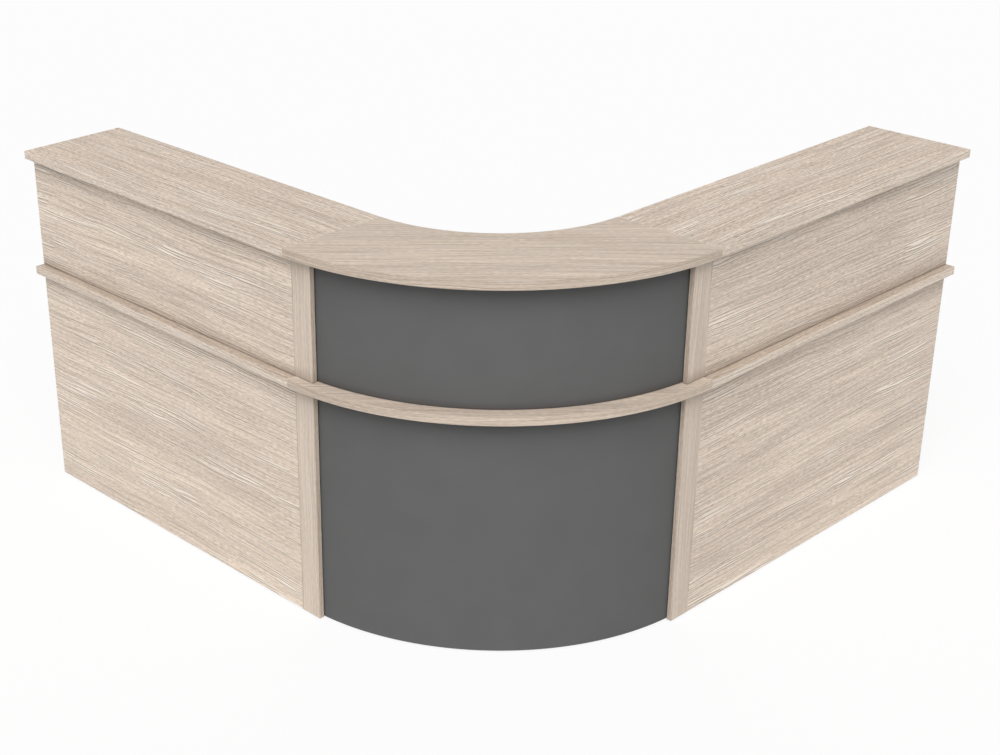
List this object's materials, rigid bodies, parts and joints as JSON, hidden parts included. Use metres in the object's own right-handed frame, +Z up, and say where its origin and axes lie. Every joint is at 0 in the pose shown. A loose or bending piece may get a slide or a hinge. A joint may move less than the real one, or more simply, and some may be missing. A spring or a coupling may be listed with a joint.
{
  "type": "reception desk",
  "caption": "L-shaped reception desk of oak laminate: straight arms, a quarter-round corner with dark bent panels, a projecting work board and a raised counter top.",
  "frame": {"origin": "on the floor, under the middle of the desk's square footprint", "axes": "+Z up; one arm runs along +X and the other along +Y; visitors stand on the -X and -Y sides, staff sit inside the L"},
  "size_m": [2, 2, 1.105],
  "materials": {
    "oak_laminate": "satin pale oak laminate with fine streaks along the grain",
    "dark_grey_laminate": "matte dark grey laminate",
    "zinc_steel": "zinc-plated steel",
    "foot_plastic": "black moulded plastic"
  },
  "bodies": {
    "desk": {"right_counter_top": "oak_laminate", "right_work_board": "oak_laminate", "right_upper_front": "oak_laminate", "right_lower_front": "oak_laminate", "right_upper_strip": "oak_laminate", "right_lower_strip": "oak_laminate", "right_end_lower_side": "oak_laminate", "right_end_upper_side": "oak_laminate", "right_inner_lower_side": "oak_laminate", "right_inner_upper_side": "oak_laminate", "right_corner_lower_side": "oak_laminate", "right_corner_upper_side": "oak_laminate", "left_counter_top": "oak_laminate", "left_work_board": "oak_laminate", "left_upper_front": "oak_laminate", "left_lower_front": "oak_laminate", "left_upper_strip": "oak_laminate", "left_lower_strip": "oak_laminate", "left_end_lower_side": "oak_laminate", "left_end_upper_side": "oak_laminate", "left_inner_lower_side": "oak_laminate", "left_inner_upper_side": "oak_laminate", "left_corner_lower_side": "oak_laminate", "left_corner_upper_side": "oak_laminate", "corner_counter_top": "oak_laminate", "corner_work_board": "oak_laminate", "corner_base_rib": "oak_laminate", "corner_upper_bent_panel": "dark_grey_laminate", "corner_lower_bent_panel": "dark_grey_laminate", "corner_lower_left_bracket": "zinc_steel", "corner_lower_middle_bracket": "zinc_steel", "corner_lower_right_bracket": "zinc_steel", "corner_upper_left_bracket": "zinc_steel", "corner_upper_middle_bracket": "zinc_steel", "corner_upper_right_bracket": "zinc_steel", "right_lower_front_bolt": "zinc_steel", "right_lower_rear_bolt": "zinc_steel", "right_upper_bolt": "zinc_steel", "left_lower_front_bolt": "zinc_steel", "left_lower_rear_bolt": "zinc_steel", "left_upper_bolt": "zinc_steel"},
    "right_end_front_foot": {"right_end_front_foot": "foot_plastic"},
    "right_end_rear_foot": {"right_end_rear_foot": "foot_plastic"},
    "right_inner_front_foot": {"right_inner_front_foot": "foot_plastic"},
    "right_inner_rear_foot": {"right_inner_rear_foot": "foot_plastic"},
    "right_corner_front_foot": {"right_corner_front_foot": "foot_plastic"},
    "right_corner_rear_foot": {"right_corner_rear_foot": "foot_plastic"},
    "left_end_front_foot": {"left_end_front_foot": "foot_plastic"},
    "left_end_rear_foot": {"left_end_rear_foot": "foot_plastic"},
    "left_inner_front_foot": {"left_inner_front_foot": "foot_plastic"},
    "left_inner_rear_foot": {"left_inner_rear_foot": "foot_plastic"},
    "left_corner_front_foot": {"left_corner_front_foot": "foot_plastic"},
    "left_corner_rear_foot": {"left_corner_rear_foot": "foot_plastic"}
  },
  "joints": [
    {"name": "right_end_front_screw", "type": "slide", "parent": "desk", "child": "right_end_front_foot", "axis": [0, 0, -1], "range_m": [0, 0.012]},
    {"name": "right_end_rear_screw", "type": "slide", "parent": "desk", "child": "right_end_rear_foot", "axis": [0, 0, -1], "range_m": [0, 0.012]},
    {"name": "right_inner_front_screw", "type": "slide", "parent": "desk", "child": "right_inner_front_foot", "axis": [0, 0, -1], "range_m": [0, 0.012]},
    {"name": "right_inner_rear_screw", "type": "slide", "parent": "desk", "child": "right_inner_rear_foot", "axis": [0, 0, -1], "range_m": [0, 0.012]},
    {"name": "right_corner_front_screw", "type": "slide", "parent": "desk", "child": "right_corner_front_foot", "axis": [0, 0, -1], "range_m": [0, 0.012]},
    {"name": "right_corner_rear_screw", "type": "slide", "parent": "desk", "child": "right_corner_rear_foot", "axis": [0, 0, -1], "range_m": [0, 0.012]},
    {"name": "left_end_front_screw", "type": "slide", "parent": "desk", "child": "left_end_front_foot", "axis": [0, 0, -1], "range_m": [0, 0.012]},
    {"name": "left_end_rear_screw", "type": "slide", "parent": "desk", "child": "left_end_rear_foot", "axis": [0, 0, -1], "range_m": [0, 0.012]},
    {"name": "left_inner_front_screw", "type": "slide", "parent": "desk", "child": "left_inner_front_foot", "axis": [0, 0, -1], "range_m": [0, 0.012]},
    {"name": "left_inner_rear_screw", "type": "slide", "parent": "desk", "child": "left_inner_rear_foot", "axis": [0, 0, -1], "range_m": [0, 0.012]},
    {"name": "left_corner_front_screw", "type": "slide", "parent": "desk", "child": "left_corner_front_foot", "axis": [0, 0, -1], "range_m": [0, 0.012]},
    {"name": "left_corner_rear_screw", "type": "slide", "parent": "desk", "child": "left_corner_rear_foot", "axis": [0, 0, -1], "range_m": [0, 0.012]}
  ]
}
